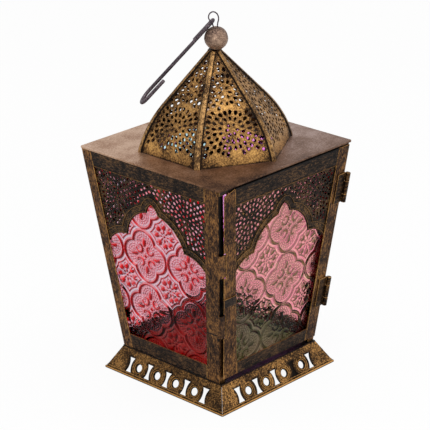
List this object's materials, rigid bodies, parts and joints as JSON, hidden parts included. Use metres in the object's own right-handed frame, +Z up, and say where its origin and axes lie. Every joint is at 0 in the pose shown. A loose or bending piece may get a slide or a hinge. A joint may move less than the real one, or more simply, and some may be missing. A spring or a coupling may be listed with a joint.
{
  "type": "candle lantern",
  "caption": "Square candle lantern with tapering sides of coloured pressed glass behind pierced arches, a hinged door, a pierced faceted dome, a ball finial and a wire hook.",
  "frame": {"origin": "middle of the foot on the table", "axes": "+Z up, -Y out of the glazed door, -X out of the side with the red pane"},
  "size_m": [0.16, 0.16, 0.3156],
  "materials": {
    "antique_brass": "aged and brushed",
    "dark_wire": "dull, darkened",
    "glass_red": "pressed relief",
    "glass_green": "pressed relief",
    "glass_turquoise": "pressed relief",
    "glass_magenta": "pressed relief"
  },
  "bodies": {
    "lantern": {"skirt_front": "antique_brass", "skirt_right": "antique_brass", "skirt_back": "antique_brass", "skirt_left": "antique_brass", "floor_plate": "antique_brass", "candle_cup": "antique_brass", "post_front_left": "antique_brass", "post_front_right": "antique_brass", "post_back_right": "antique_brass", "post_back_left": "antique_brass", "bottom_rail_right": "antique_brass", "bottom_rail_back": "antique_brass", "bottom_rail_left": "antique_brass", "top_rail_right": "antique_brass", "top_rail_back": "antique_brass", "top_rail_left": "antique_brass", "fretwork_right": "antique_brass", "fretwork_back": "antique_brass", "fretwork_left": "antique_brass", "pane_right": "glass_magenta", "pane_back": "glass_turquoise", "pane_left": "glass_red", "front_header": "antique_brass", "pane_clips": "antique_brass", "lower_hinge_post_leaf": "antique_brass", "lower_hinge_pin": "antique_brass", "upper_hinge_post_leaf": "antique_brass", "upper_hinge_pin": "antique_brass", "top_plate": "antique_brass", "dome_panel_1": "antique_brass", "dome_panel_2": "antique_brass", "dome_panel_3": "antique_brass", "dome_panel_4": "antique_brass", "dome_panel_5": "antique_brass", "dome_panel_6": "antique_brass", "dome_rib_1": "antique_brass", "dome_rib_2": "antique_brass", "dome_rib_3": "antique_brass", "dome_rib_4": "antique_brass", "dome_rib_5": "antique_brass", "dome_rib_6": "antique_brass", "dome_collar": "antique_brass", "finial_ball": "antique_brass", "finial_eye": "dark_wire"},
    "door": {"door_free_stile": "antique_brass", "door_hinge_stile": "antique_brass", "door_bottom_rail": "antique_brass", "door_top_rail": "antique_brass", "door_fretwork": "antique_brass", "door_pane": "glass_green", "door_pane_clips": "antique_brass", "door_latch": "antique_brass", "lower_hinge_door_leaf": "antique_brass", "upper_hinge_door_leaf": "antique_brass"},
    "hook": {"hanging_hook": "dark_wire"}
  },
  "joints": [
    {"name": "door_hinge", "type": "hinge", "parent": "lantern", "child": "door", "pos_m": [0.05981, -0.05981, 0.02058], "axis": [0.1145, -0.1145, 0.9868], "range_deg": [0, 80]},
    {"name": "hook_swing", "type": "hinge", "parent": "lantern", "child": "hook", "pos_m": [-0.00163, 0.00169, 0.30708], "axis": [-0.5227, 0.5412, 0.6587], "range_deg": [-100, 100]}
  ]
}
